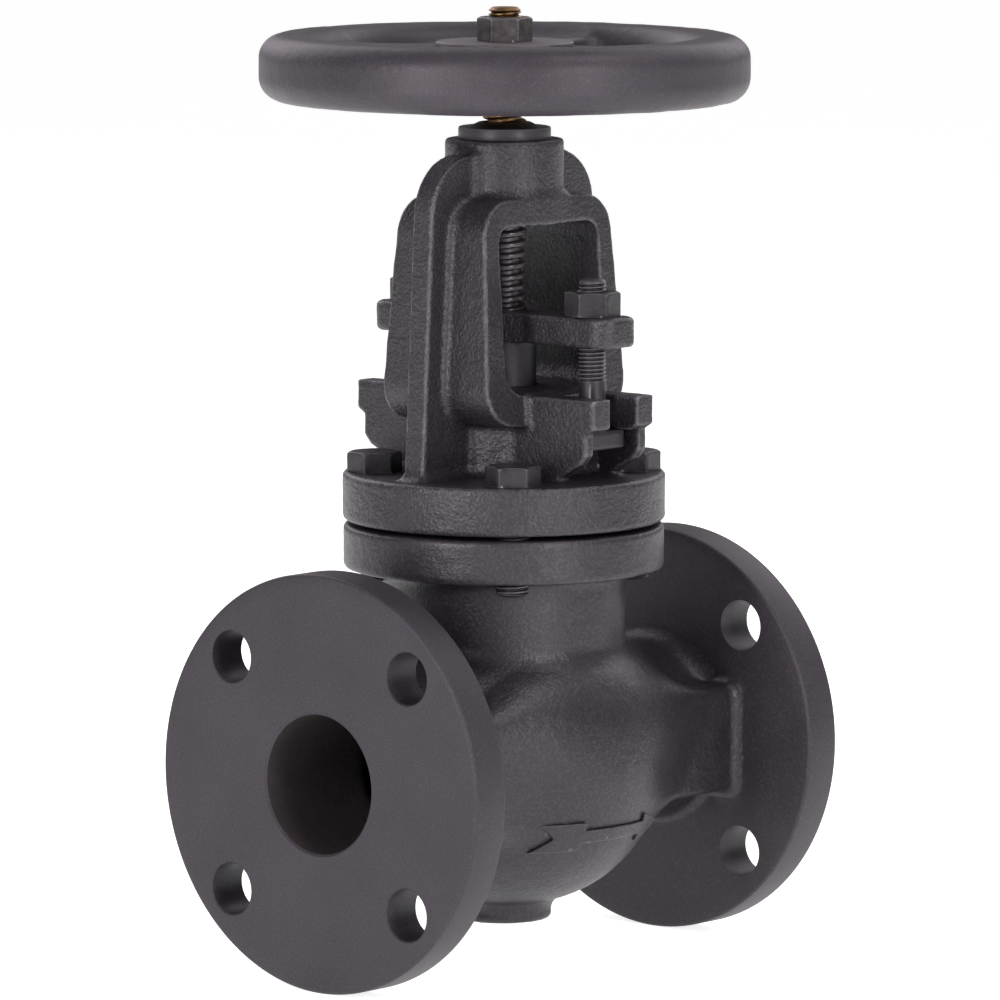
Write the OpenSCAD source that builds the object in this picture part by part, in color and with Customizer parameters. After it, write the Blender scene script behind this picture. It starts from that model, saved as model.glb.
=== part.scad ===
// Flanged globe valve with an outside screw and yoke, bolted bonnet and rising stem.
// Millimetres, +Z up. The origin is the centre of the inlet flange face, and +X is the way of flow.

/* [Pipe flanges] */
// Distance between the two flange faces
face_to_face = 203.2; // [200:0.2:230]
// Diameter of a pipe flange
flange_d = 152.4; // [150:0.2:165]
// Thickness of a pipe flange
flange_t = 15.9; // [14:0.1:20]
// Diameter of the bolt circle of a pipe flange
flange_pcd = 120.65; // [118:0.05:125]
// Diameter of a bolt hole in a pipe flange
flange_hole_d = 19.05; // [16:0.05:20]
// Diameter of the port
port_d = 50.8; // [46:0.2:51]
// Length of the machined stretch of a port
port_l = 40; // [30:1:42]

/* [Globe body] */
// Greatest radius of the globe about the stem axis
globe_r = 60.5; // [60:0.5:62]
// Half height of the globe
globe_h = 55.5; // [55:0.5:57]
// Thickness of the cast walls
wall = 7; // [6:0.5:8]
// Radius of the neck between the globe and the bonnet flange
neck_r = 44.8; // [44.5:0.1:46]
// Height of the top face of the body's bonnet flange
body_top = 86; // [86:0.1:87]
// Thickness of the body's bonnet flange
body_flange_t = 16.3; // [14:0.1:18]
// Radius of the round duct behind a pipe flange
duct_r = 33; // [32.5:0.5:36]
// Half width of the square shoulder beside a duct
shoulder_w = 41; // [38:0.5:42]
// Half height of the square shoulder beside a duct
shoulder_h = 20; // [18:0.5:22]

/* [Bonnet and yoke] */
// Radius of the bonnet flange
bonnet_r = 59.3; // [58:0.1:61]
// Height of the top face of the bonnet flange
bonnet_top = 105.2; // [104:0.2:106]
// Radius of the stuffing box
box_r = 24; // [23:0.5:25]
// Height of the top of the stuffing box
box_top = 136; // [135:0.5:137]
// Height of the top of the yoke window
window_top = 197.2; // [195:0.2:199]
// Half width of the yoke window
window_w = 27.5; // [26:0.5:29]
// Thickness of the outer ribs of the yoke
rib_t = 9.5; // [8:0.5:12]
// Radius of the hub on top of the yoke
hub_r = 21.7; // [20:0.1:23]
// Height of the top face of the yoke hub
hub_top = 227.5; // [226:0.5:228]

/* [Stem and disc] */
// Diameter of the stem
stem_d = 16; // [15:0.5:16]
// Pitch of the stem thread
thread_pitch = 4; // [3:0.5:5]
// Height that the disc lifts from closed to open
lift = 16; // [10:1:16]
// Diameter of the valve disc
disc_d = 58; // [56:0.5:60]

/* [Packing gland] */
// Distance of a gland bolt from the stem axis
gland_bolt_y = 42.6; // [42:0.2:46]
// Height of the underside of the gland flange
gland_z = 154; // [152:0.5:156]
// Thickness of the gland flange
gland_t = 11; // [10:0.5:12]
// Number of packing rings
packing_rings = 4; // [4:1:4]

/* [Handwheel] */
// Outer diameter of the handwheel
wheel_d = 180; // [170:1:190]
// Size of the rim's rounded square section
rim_size = 24.2; // [20:0.2:25]
// Height of the middle of the rim
rim_z = 253.4; // [252:0.2:255]
// Direction of the first spoke about the stem axis, in degrees
spoke_angle = 26; // [0:1:89]

/* [Hidden] */
$fn = 96;

iron_black = [0.13, 0.13, 0.135];
wheel_black = [0.17, 0.17, 0.18];
steel_grey = [0.5, 0.5, 0.48];
steel_dark = [0.2, 0.2, 0.2];
brass_gold = [0.72, 0.58, 0.3];
packing_grey = [0.28, 0.28, 0.3];
gasket_grey = [0.35, 0.35, 0.36];

stem_x = face_to_face / 2;
stem_r = stem_d / 2;
running = 0.05;                  // radial clearance of a running fit
free_gap = 0.2;                  // gap between pieces that move apart, end to end
loose = 0.3;                     // radial clearance round the stem where nothing guides it
eps = 0.02;                      // overshoot of a cut past a face
edge = 1.6;                      // rounding of cast and machined edges

// Body
flange_bolts = 4;
globe_round = globe_h;           // radius of the arc that the globe's side follows
globe_shift = globe_r - globe_round;
body_flange_r = bonnet_r - 0.3;  // the body's bonnet flange is a touch smaller than the bonnet's
port_relief = 1;                 // how much wider the cast passage is than the machined port
boss_r = 17.8;
boss_bottom = -61.1;
boss_root = -48;
neck_bore_r = 36.5;
neck_bore_z = 17;                // the neck bore starts above the deck here
deck_r = 38;                     // half length of the level deck that holds the seat ring
deck_top = 5;
deck_bottom = -3;
web_end_x = 56;                  // the slanted webs end at the globe's wall here
web_end_z = 27;
web_t = 6.5;
arrow_z = -23.5;
arrow_x0 = -34;
arrow_x1 = 31;
arrow_h = 11;
arrow_shaft_h = 5;
arrow_head = 17;
arrow_notch = 6;
arrow_raise = 1.2;

// Seat ring and disc
seat_bore_r = 24;
seat_body_r = 31;
seat_lip_r = 34;
seat_top = 9;
seat_bottom = -5;
lip_gap = 0.5;
disc_gap = running;
disc_z = seat_top + disc_gap;
disc_t = 11;
disc_hub_r = 16.5;
disc_hub_top = 35;
disc_socket_r = 12.2;
disc_nut_af = 26.4;
disc_nut_h = 5;
stem_button_r = 11.5;
stem_button_t = 6;
button_z = disc_z + disc_t + free_gap;

// Bonnet
gasket_t = 1.5;
gasket_r = 41;
gasket_gap = 0.4;                // how far the gasket's hole stands off the spigot's bore
spigot_gap = 0.1;
spigot_h = 5;
bonnet_z = body_top + gasket_t;
spigot_z = bonnet_z - spigot_h;
spigot_r = neck_bore_r - spigot_gap;
bowl_r = 30;
bowl_top_r = 16;
bowl_shoulder_z = 96;
bowl_cone_z = 106;
backseat_z = 110;
packing_z = 118;
packing_bore_r = 12.5;
backseat_flange_t = 3.5;
backseat_flange_r = 14;
backseat_body_r = 12;
packing_ring_h = 4.2;

// Bonnet bolts
bonnet_bolt_ring = 47.6;
hex_turn = 11.13;                // turn of a hexagon that puts one flat square to the valve's quarter
bolt_turn = [17, 8, 0, 0];       // how far each bonnet bolt stopped past that
bolt_r = 6;
bolt_head_af = 18;
bolt_head_h = 7.4;
bolt_clear_r = 6.75;
bolt_end = body_top - body_flange_t - 5;
bolt_hole_end = body_top - body_flange_t - 12;

// Yoke
band_top = 207;
band_bottom = 124;
band_top_w = 35.5;
band_low_w = 38.5;
band_corner = 14;
band_low_z = 139;
window_corner = 6.5;
window_low_corner = 10;
band_y_top = 20.7;               // half depth of the band along Y at its top
band_y_low = 26.6;               // and at its bottom
rib_foot_w = 50.2;
rib_arc_x = 23.5;
rib_arc_z = 201;
rib_arc_r = 21.7;
rib_arc_end = 4;                 // angle at which the rib's top arc meets its slanted edge

// Gland lugs
lug_w = 17;                      // half width of a lug along X
lug_y = 57.8;
lug_cheek_y = 54.3;
lug_shelf_z = 125.5;
lug_shelf_in_z = 123.5;
lug_low_z = 116;
lug_low_y = 51.5;
lug_low_edge_z = 112.5;
lug_toe_y = 38;
slot_w = 7.5;                    // half width of the bolt's slot
slot_y = 36.5;
pocket_y = 35;
pocket_w = 12.5;                 // half width of the pocket of the bolt's head
pocket_top = 123.3;

// Gland
gland_len = 57.3;                // half length of the gland flange
gland_w = 10.5;                  // half width of its arms
gland_corner = 7;
gland_mid_r = 18;
gland_hole_r = 6;
gland_nose_r = 11.8;
gland_nose_z = packing_z + packing_rings * packing_ring_h;
gland_bore_r = stem_r + loose;
gland_bolt_r = 5;
gland_bolt_top = 178.5;
gland_head = [20.6, 14.4, 6.8];
gland_nut_h = 9;
gland_nut_af = 18;

// Yoke bushing
bushing_flange_r = 17;
bushing_flange_t = 4.4;
bushing_nose_r = 9.6;            // a short cone on top of the bushing's flange
bushing_nose_root_r = 12.6;
bushing_nose_h = 1.6;
bushing_body_r = 13;
bushing_z = window_top + 1.5;
lock_screw_r = 2.5;
lock_screw_h = 9;
lock_screw_sink = 0.5;           // how far the screw's top lies below the bushing's flange
lock_screw_angle = 35;

// Stem
collar_r = 11;
collar_t = 8;
collar_gap = 0.5;                // what's left between the collar and the backseat when fully open
collar_top = backseat_z - backseat_flange_t - lift - collar_gap;
thread_z0 = 150;
thread_z1 = 238;
thread_depth = 1.9;
thread_mouth = 3.2;              // width of the thread's groove at the stem's surface
thread_root = 1.2;               // and at its bottom
square_af = 11;
square_top = 261.2;
stud_r = 5.95;
stem_top = 275.5;

// Handwheel
rim_r = (wheel_d - rim_size) / 2;
rim_corner = 8.5;
wheel_hub_r = 20;
wheel_hub_foot_r = 15;
wheel_hub_z = 237;
wheel_hub_top = 261.2;
spokes = 4;
spoke_w = 10;                    // half width of a spoke at its waist
spoke_end_w = 17;                // half width of a spoke where it joins the rim
spoke_waist_r = 24;              // radius of the scallop on each side of a spoke
spoke_waist_x = 44.9;            // how far from the stem axis a spoke is narrowest
spoke_z = 252.5;
spoke_t = 8.5;
plate_r = 25.2;
plate_t = 1.8;
top_nut_af = 18;
top_nut_h = 9;

// Points of a round stretch about (x, y)
function arc(x, y, r, a0, a1, n = 12) =
    [for (i = [0:n]) let (a = a0 + (a1 - a0) * i / n) [x + r * cos(a), y + r * sin(a)]];

// The stem axis as the children's Z axis
module at_stem() translate([stem_x, 0, 0]) children();

// A 2-D shape drawn in (x, z), run along Y by depth about the stem plane
module run_y(depth) rotate([90, 0, 0]) linear_extrude(depth, center = true) children();

// A 2-D shape drawn in (y, z), run along X by depth about the stem plane
module run_x(depth) rotate([90, 0, 90]) linear_extrude(depth, center = true) children();

// The children and their mirror image across the plane x = 0
module both_sides() {
    children();
    mirror([1, 0, 0]) children();
}

// Half section of a round plate from z = 0 to h with rounded outer edges
module plate_section(r, h, e) {
    square([r - e, h]);
    translate([0, e]) square([r, h - 2 * e]);
    for (z = [e, h - e]) translate([r - e, z]) circle(r = e);
}

module round_plate(r, h, e) rotate_extrude() plate_section(r, h, e);

// Cylinder along +X
module rod_x(r, h) rotate([0, 90, 0]) cylinder(r = r, h = h);

// Hexagon prism across flats af, with both ends chamfered when both is true
module hex_head(af, h, both = false) {
    corner = af / sqrt(3);
    bevel = corner - af / 2;
    low = both ? bevel * 0.5 : 0;
    intersection() {
        cylinder(r = corner, h = h, $fn = 6);
        rotate_extrude() polygon([[0, 0], [corner - low * 2, 0], [corner, low],
                                  [corner, h - bevel * 0.5], [corner - bevel, h], [0, h]]);
    }
}

// Places the children at the four bonnet bolts
module at_bonnet_bolt(i) at_stem() rotate([0, 0, 45 + 90 * i])
    translate([bonnet_bolt_ring, 0, 0]) children();

// ---- Body ----

// Half section of the globe, grown outwards by d
module globe_section(d = 0) intersection() {
    translate([globe_shift, 0]) circle(r = globe_round + d);
    translate([0, -globe_r - d]) square([globe_r + d, 2 * (globe_r + d)]);
}

// A pipe flange with its outer face at x = 0
module pipe_flange() rotate([90, 0, 90]) round_plate(flange_d / 2, flange_t, edge);

module flange_holes() for (i = [0:flange_bolts - 1])
    rotate([45 + i * 360 / flange_bolts, 0, 0]) translate([-eps, flange_pcd / 2, 0])
        rod_x(flange_hole_d / 2, flange_t + 2 * eps);

// One end of the body: flange, round duct and square shoulder, from x = 0 to the stem
module body_end() {
    pipe_flange();
    rod_x(duct_r, stem_x - deck_r);
    translate([flange_t / 2, -shoulder_w, -shoulder_h])
        cube([stem_x - deck_r - flange_t / 2, 2 * shoulder_w, 2 * shoulder_h]);
}

// Outline of the flow arrow, its tail notched, drawn in (x, z)
module arrow_outline() translate([0, arrow_z]) polygon([
    [arrow_x0, arrow_h / 2], [arrow_x0 + arrow_head, arrow_h / 2],
    [arrow_x0 + arrow_head, arrow_shaft_h / 2], [arrow_x1 - arrow_head, arrow_shaft_h / 2],
    [arrow_x1 - arrow_head, arrow_h / 2], [arrow_x1, 0],
    [arrow_x1 - arrow_head, -arrow_h / 2], [arrow_x1 - arrow_head, -arrow_shaft_h / 2],
    [arrow_x0 + arrow_head, -arrow_shaft_h / 2], [arrow_x0 + arrow_head, -arrow_h / 2],
    [arrow_x0, -arrow_h / 2], [arrow_x0 + arrow_notch, 0]]);

module body_outside() {
    body_end();
    translate([face_to_face, 0, 0]) mirror([1, 0, 0]) body_end();
    at_stem() {
        rotate_extrude() globe_section();
        cylinder(r = neck_r, h = body_top - edge);
        translate([0, 0, body_top - body_flange_t]) round_plate(body_flange_r, body_flange_t, edge);
        translate([0, 0, boss_bottom]) round_plate(boss_r, boss_root - boss_bottom, edge / 2);
        intersection() {
            rotate_extrude() globe_section(arrow_raise);
            run_y(3 * globe_r) arrow_outline();
        }
    }
}

// Side view of the passage on the inlet side: below the deck and its slanted webs
module inlet_side() polygon([
    [-stem_x - 1, -globe_r], [-stem_x - 1, globe_r], [-web_end_x, globe_r], [-web_end_x, web_end_z],
    [-deck_r, deck_bottom], [deck_r - web_t, deck_bottom],
    [web_end_x - web_t, -web_end_z - web_t / 2], [web_end_x - web_t, -globe_r]]);

// The space inside the globe and one port, before the deck divides it
module chamber() {
    rotate_extrude() globe_section(-wall);
    translate([-stem_x - 1, 0, 0]) rod_x(port_d / 2, port_l + 1);
    translate([-stem_x + port_l, 0, 0]) rod_x(port_d / 2 + port_relief, stem_x - deck_r - port_l);
}

module passages() {
    intersection() {
        chamber();
        run_y(3 * globe_r) inlet_side();
    }
    translate([0, 0, deck_top + deck_bottom]) rotate([0, 180, 0]) intersection() {
        translate([0, 0, deck_top + deck_bottom]) chamber();
        run_y(3 * globe_r) inlet_side();
    }
    translate([0, 0, neck_bore_z]) cylinder(r = neck_bore_r, h = body_top);
    translate([0, 0, deck_bottom - 1]) cylinder(r = seat_body_r, h = deck_top - deck_bottom + 2);
    translate([0, 0, deck_top]) cylinder(r = seat_lip_r + lip_gap, h = neck_bore_z - deck_top);
}

module body() color(iron_black) difference() {
    body_outside();
    at_stem() passages();
    flange_holes();
    translate([face_to_face - flange_t, 0, 0]) flange_holes();
    for (i = [0:3]) at_bonnet_bolt(i) translate([0, 0, bolt_hole_end])
        cylinder(r = bolt_r + running, h = body_top - bolt_hole_end + eps);
}

module seat_ring() color(brass_gold) at_stem() rotate_extrude() polygon([
    [seat_bore_r, seat_bottom], [seat_body_r, seat_bottom], [seat_body_r, deck_top],
    [seat_lip_r, deck_top], [seat_lip_r, seat_top - 1], [seat_lip_r - 1, seat_top],
    [seat_bore_r + 1, seat_top], [seat_bore_r, seat_top - 1]]);

module bonnet_gasket() color(gasket_grey) at_stem() translate([0, 0, body_top]) difference() {
    cylinder(r = gasket_r, h = gasket_t);
    translate([0, 0, -eps]) cylinder(r = neck_bore_r + gasket_gap, h = gasket_t + 2 * eps);
}

// ---- Bonnet and yoke ----

module band_half() polygon(concat([[0, band_top]],
    arc(band_top_w - band_corner, band_top - band_corner, band_corner, 90, 0),
    arc(band_low_w - band_corner, band_low_z, band_corner, 0, -90), [[0, band_bottom]]));

module window_half() polygon(concat([[0, window_top]],
    arc(window_w - window_corner, window_top - window_corner, window_corner, 90, 0),
    arc(window_w - window_low_corner, box_top + window_low_corner, window_low_corner, 0, -90),
    [[0, box_top]]));

module rib_half() polygon(concat([[0, rib_arc_z + rib_arc_r]],
    arc(rib_arc_x, rib_arc_z, rib_arc_r, 90, rib_arc_end),
    [[rib_foot_w, bonnet_top - edge], [0, bonnet_top - edge]]));

// The yoke's depth along Y: widest at the foot
module band_depth() polygon([[-band_y_low, band_bottom], [band_y_low, band_bottom],
                             [band_y_top, band_top], [-band_y_top, band_top]]);

module yoke_arms() difference() {
    union() {
        intersection() {
            run_y(3 * band_y_low) both_sides() band_half();
            run_x(3 * band_low_w) band_depth();
        }
        run_y(rib_t) both_sides() rib_half();
    }
    run_y(3 * band_y_low) both_sides() window_half();
}

// One lug with its slot and pocket, on the +Y side
module gland_lug() difference() {
    run_x(2 * lug_w) polygon([[0, bonnet_top - edge], [lug_toe_y, bonnet_top - edge],
        [lug_toe_y, bonnet_top], [lug_low_y, lug_low_edge_z], [lug_cheek_y, lug_low_z],
        [lug_cheek_y, lug_shelf_in_z], [lug_y, lug_shelf_z], [lug_y, box_top], [0, box_top]]);
    translate([-slot_w, slot_y, bonnet_top]) cube([2 * slot_w, lug_y, box_top]);
    translate([-pocket_w, pocket_y, bonnet_top]) cube([2 * pocket_w, lug_y, pocket_top - bonnet_top]);
}

module bonnet_casting() {
    translate([0, 0, bonnet_z]) round_plate(bonnet_r, bonnet_top - bonnet_z, edge);
    translate([0, 0, spigot_z]) cylinder(r = spigot_r, h = bonnet_z - spigot_z + edge);
    translate([0, 0, bonnet_top - edge]) round_plate(box_r, box_top - bonnet_top + edge, edge);
    yoke_arms();
    translate([0, 0, window_top]) cylinder(r = hub_r, h = hub_top - window_top);
    gland_lug();
    mirror([0, 1, 0]) gland_lug();
}

// The bowl under the bonnet, drawn as a half section
module bowl_section() polygon([[0, spigot_z - 1], [bowl_r, spigot_z - 1], [bowl_r, bowl_shoulder_z],
    [bowl_top_r, bowl_cone_z], [bowl_top_r, backseat_z], [0, backseat_z]]);

module bonnet_yoke() color(iron_black) difference() {
    at_stem() difference() {
        bonnet_casting();
        rotate_extrude() bowl_section();
        translate([0, 0, backseat_z - 1]) cylinder(r = backseat_body_r, h = packing_z - backseat_z + 2);
        translate([0, 0, packing_z]) cylinder(r = packing_bore_r, h = box_top - packing_z + eps);
        translate([0, 0, window_top - 1]) cylinder(r = bushing_body_r, h = hub_top - window_top + 2);
        rotate([0, 0, lock_screw_angle]) translate([bushing_body_r, 0, hub_top - lock_screw_h])
            cylinder(r = lock_screw_r, h = lock_screw_h + eps);
    }
    for (i = [0:3]) at_bonnet_bolt(i)
        translate([0, 0, bonnet_z - 1]) cylinder(r = bolt_clear_r, h = bonnet_top - bonnet_z + 2);
}

module backseat_bushing() color(brass_gold) at_stem() difference() {
    union() {
        translate([0, 0, backseat_z - backseat_flange_t])
            cylinder(r = backseat_flange_r, h = backseat_flange_t);
        translate([0, 0, backseat_z]) cylinder(r = backseat_body_r, h = packing_z - backseat_z);
    }
    translate([0, 0, backseat_z - 5]) cylinder(r = stem_r + running, h = packing_z);
}

// ---- Packing and gland ----

// Ring i of the packing, counted from the bottom
module packing_ring(i) color(packing_grey) at_stem() translate([0, 0, packing_z + i * packing_ring_h])
    difference() {
        cylinder(r = packing_bore_r, h = packing_ring_h);
        translate([0, 0, -eps]) cylinder(r = stem_r + running, h = packing_ring_h + 2 * eps);
    }

// Plan of the gland flange: a round middle and two arms along Y with rounded corners
module gland_plan() {
    circle(r = gland_mid_r);
    square([2 * gland_w, 2 * (gland_len - gland_corner)], center = true);
    square([2 * (gland_w - gland_corner), 2 * gland_len], center = true);
    for (x = [-1, 1], y = [-1, 1])
        translate([x * (gland_w - gland_corner), y * (gland_len - gland_corner)]) circle(r = gland_corner);
}

module packing_gland() color(iron_black) at_stem() difference() {
    union() {
        translate([0, 0, gland_z]) linear_extrude(gland_t) gland_plan();
        translate([0, 0, gland_nose_z]) cylinder(r = gland_nose_r, h = gland_z - gland_nose_z + 1);
    }
    translate([0, 0, gland_nose_z - 1]) cylinder(r = gland_bore_r, h = gland_z);
    for (s = [-1, 1]) translate([0, s * gland_bolt_y, gland_z - 1])
        cylinder(r = gland_hole_r, h = gland_t + 2);
}

// T-headed bolt that hooks under a lug, side is 1 at the back and -1 at the front
module gland_bolt(side) color(steel_dark) at_stem() translate([0, side * gland_bolt_y, 0]) {
    translate([-gland_head[0] / 2, -gland_head[1] / 2, pocket_top - gland_head[2]]) cube(gland_head);
    translate([0, 0, pocket_top - 1]) cylinder(r = gland_bolt_r, h = gland_bolt_top - pocket_top);
    translate([0, 0, gland_bolt_top - 1]) cylinder(r1 = gland_bolt_r, r2 = gland_bolt_r - 1, h = 1);
}

module gland_nut(side) color(steel_dark) at_stem() translate([0, side * gland_bolt_y, gland_z + gland_t])
    difference() {
        rotate([0, 0, hex_turn]) hex_head(gland_nut_af, gland_nut_h, true);
        translate([0, 0, -eps]) cylinder(r = gland_bolt_r + running, h = gland_nut_h + 2 * eps);
    }

module bonnet_bolt(i) color(steel_dark) at_bonnet_bolt(i) {
    translate([0, 0, bonnet_top]) rotate([0, 0, hex_turn + bolt_turn[i] - 45 - 90 * i])
        hex_head(bolt_head_af, bolt_head_h);
    translate([0, 0, bolt_end + 1]) cylinder(r = bolt_r, h = bonnet_top - bolt_end);
    translate([0, 0, bolt_end]) cylinder(r1 = bolt_r - 1, r2 = bolt_r, h = 1 + eps);
}

// ---- Yoke bushing ----

module yoke_bushing() color(brass_gold) at_stem() difference() {
    union() {
        translate([0, 0, hub_top]) round_plate(bushing_flange_r, bushing_flange_t, edge / 2);
        translate([0, 0, hub_top + bushing_flange_t])
            cylinder(r1 = bushing_nose_root_r, r2 = bushing_nose_r, h = bushing_nose_h);
        translate([0, 0, bushing_z]) cylinder(r = bushing_body_r, h = hub_top - bushing_z + 1);
    }
    translate([0, 0, bushing_z - 1]) cylinder(r = stem_r + running, h = hub_top);
    rotate([0, 0, lock_screw_angle]) translate([bushing_body_r, 0, hub_top - lock_screw_h])
        cylinder(r = lock_screw_r, h = 2 * lock_screw_h);
}

module bushing_lock_screw() color(steel_grey) at_stem()
    rotate([0, 0, lock_screw_angle]) translate([bushing_body_r, 0, hub_top - lock_screw_h])
        cylinder(r = lock_screw_r - running, h = lock_screw_h + bushing_flange_t - lock_screw_sink);

// ---- Stem, disc and handwheel ----

// Half section of one turn of the thread's groove, which is cut as a ring
module thread_groove() polygon([
    [stem_r + 1, thread_mouth / 2], [stem_r + 1, -thread_mouth / 2],
    [stem_r - thread_depth, -thread_root / 2], [stem_r - thread_depth, thread_root / 2]]);

module stem() color(brass_gold) at_stem() {
    translate([0, 0, button_z]) cylinder(r = stem_button_r, h = stem_button_t);
    translate([0, 0, collar_top - collar_t]) cylinder(r = collar_r, h = collar_t);
    difference() {
        translate([0, 0, button_z + 1]) cylinder(r = stem_r, h = thread_z1 - button_z - 1);
        rotate_extrude() for (z = [thread_z0:thread_pitch:thread_z1 - thread_pitch])
            translate([0, z + thread_pitch / 2]) thread_groove();
    }
    translate([-square_af / 2, -square_af / 2, thread_z1 - 1])
        cube([square_af, square_af, square_top - thread_z1 + 1]);
    translate([0, 0, square_top]) cylinder(r = stud_r, h = stem_top - square_top - 1);
    translate([0, 0, stem_top - 1]) cylinder(r1 = stud_r, r2 = stud_r - 1, h = 1);
}

module valve_disc() color(brass_gold) at_stem() difference() {
    union() {
        translate([0, 0, disc_z]) round_plate(disc_d / 2, disc_t, edge / 2);
        translate([0, 0, disc_z + 1]) cylinder(r = disc_hub_r, h = disc_hub_top - disc_z - 1);
    }
    translate([0, 0, disc_z + disc_t]) cylinder(r = disc_socket_r, h = disc_hub_top);
}

module disc_nut() color(brass_gold) at_stem() difference() {
    z = button_z + stem_button_t + free_gap;
    union() {
        translate([0, 0, z]) cylinder(r = disc_socket_r - running, h = disc_hub_top - z);
        translate([0, 0, disc_hub_top]) hex_head(disc_nut_af, disc_nut_h);
    }
    translate([0, 0, z - 1]) cylinder(r = stem_r + loose, h = disc_hub_top);
}

module rim_section() translate([rim_r, rim_z]) {
    flat = rim_size - 2 * rim_corner;
    square([rim_size, flat], center = true);
    square([flat, rim_size], center = true);
    for (x = [-flat / 2, flat / 2], z = [-flat / 2, flat / 2]) translate([x, z]) circle(r = rim_corner);
}

// Plan of one spoke along +X, waisted between the hub and the rim
module spoke_plan() difference() {
    translate([0, -spoke_end_w]) square([rim_r, 2 * spoke_end_w]);
    for (s = [-1, 1]) translate([spoke_waist_x, s * (spoke_w + spoke_waist_r)]) circle(r = spoke_waist_r);
}

module handwheel() color(wheel_black) at_stem() difference() {
    union() {
        rotate_extrude() rim_section();
        translate([0, 0, wheel_hub_z]) cylinder(r = wheel_hub_foot_r, h = spoke_z - wheel_hub_z + 1);
        translate([0, 0, spoke_z - 2]) cylinder(r = wheel_hub_r, h = wheel_hub_top - spoke_z + 2);
        for (i = [0:spokes - 1]) rotate([0, 0, spoke_angle + i * 360 / spokes])
            translate([0, 0, spoke_z]) linear_extrude(spoke_t) spoke_plan();
    }
    translate([0, 0, wheel_hub_z - 1]) cylinder(r = stem_r + loose, h = thread_z1 - wheel_hub_z + 1.2);
    translate([-square_af / 2 - running, -square_af / 2 - running, wheel_hub_z])
        cube([square_af + 2 * running, square_af + 2 * running, wheel_hub_top]);
}

module index_plate() color(steel_grey) at_stem() translate([0, 0, wheel_hub_top]) difference() {
    round_plate(plate_r, plate_t, plate_t / 3);
    translate([0, 0, -eps]) cylinder(r = stud_r + 0.2, h = plate_t + 2 * eps);
}

module handwheel_nut() color(steel_grey) at_stem() translate([0, 0, wheel_hub_top + plate_t])
    difference() {
        rotate([0, 0, hex_turn]) hex_head(top_nut_af, top_nut_h, true);
        translate([0, 0, -eps]) cylinder(r = stud_r + running, h = top_nut_h + 2 * eps);
    }

body();
seat_ring();
bonnet_gasket();
bonnet_yoke();
backseat_bushing();
packing_ring(0);  // packing_ring_1
packing_ring(1);  // packing_ring_2
packing_ring(2);  // packing_ring_3
packing_ring(3);  // packing_ring_4
packing_gland();
gland_bolt(-1);  // gland_bolt_front
gland_bolt(1);  // gland_bolt_back
gland_nut(-1);  // gland_nut_front
gland_nut(1);  // gland_nut_back
bonnet_bolt(0);  // bonnet_bolt_1
bonnet_bolt(1);  // bonnet_bolt_2
bonnet_bolt(2);  // bonnet_bolt_3
bonnet_bolt(3);  // bonnet_bolt_4
yoke_bushing();
bushing_lock_screw();
stem();
valve_disc();
disc_nut();
handwheel();
index_plate();
handwheel_nut();
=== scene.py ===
import math

import bpy
import numpy as np
import openvdb
from mathutils import Matrix, Vector


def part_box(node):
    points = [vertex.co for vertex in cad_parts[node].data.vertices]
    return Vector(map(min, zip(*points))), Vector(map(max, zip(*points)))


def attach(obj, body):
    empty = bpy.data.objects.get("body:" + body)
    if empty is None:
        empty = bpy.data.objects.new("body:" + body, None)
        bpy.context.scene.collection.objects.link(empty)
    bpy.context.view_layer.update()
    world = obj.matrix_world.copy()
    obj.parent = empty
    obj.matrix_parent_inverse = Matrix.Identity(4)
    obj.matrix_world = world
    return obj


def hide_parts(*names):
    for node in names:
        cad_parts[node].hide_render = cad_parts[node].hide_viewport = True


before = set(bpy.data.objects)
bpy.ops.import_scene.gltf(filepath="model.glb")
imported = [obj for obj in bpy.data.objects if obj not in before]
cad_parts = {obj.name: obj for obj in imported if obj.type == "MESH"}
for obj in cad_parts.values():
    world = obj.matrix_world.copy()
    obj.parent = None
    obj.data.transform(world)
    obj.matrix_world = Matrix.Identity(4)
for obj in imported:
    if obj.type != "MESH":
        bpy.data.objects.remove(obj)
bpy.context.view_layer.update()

# Shapes are worked out in millimetres, with x and y measured from the stem axis and z from the pipe axis.
MM = 0.001
SEED = 7


def corners(node):
    """Lowest and highest corner of a CAD node, in row-frame millimetres."""
    low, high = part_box(node)
    return np.array(low) / MM, np.array(high) / MM


BODY_LOW, BODY_HIGH = corners("body")
STEM_X = (BODY_LOW[0] + BODY_HIGH[0]) / 2


# ---------------------------------------------------------------- distance fields

class Lattice:
    """A block of points, spaced step apart, on which distance fields are worked out."""

    def __init__(self, low, high, step):
        self.low, self.step = low, step
        x, y, z = (np.arange(a, b + step, step, dtype=np.float32) for a, b in zip(low, high))
        self.x, self.y, self.z = x[:, None, None], y[None, :, None], z[None, None, :]
        self.r = np.hypot(self.x, self.y)

    def mesh(self, name, field):
        """The surface where the field is zero, as an object."""
        grid = openvdb.FloatGrid(background=9.0)
        values = np.array(np.broadcast_to(
            field, (self.x.size, self.y.size, self.z.size)), dtype=np.float32)
        grid.copyFromArray(values, tolerance=0.0)
        points, quads = grid.convertToQuads(isovalue=0.0)
        points = points * self.step + np.array(self.low, dtype=np.float32)
        corner = points[quads[:, 0]]
        normal = np.cross(points[quads[:, 1]] - corner, points[quads[:, 2]] - corner)
        if (corner * normal).sum() < 0:
            quads = quads[:, ::-1]
        return new_object(name, points, quads)


def join(a, b, r):
    """Union of two fields, with a fillet of radius r."""
    return np.maximum(r, np.minimum(a, b)) - np.hypot(np.maximum(r - a, 0), np.maximum(r - b, 0))


def both(a, b, r):
    """Intersection of two fields, with its edge rounded to radius r."""
    return np.minimum(-r, np.maximum(a, b)) + np.hypot(np.maximum(r + a, 0), np.maximum(r + b, 0))


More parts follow.
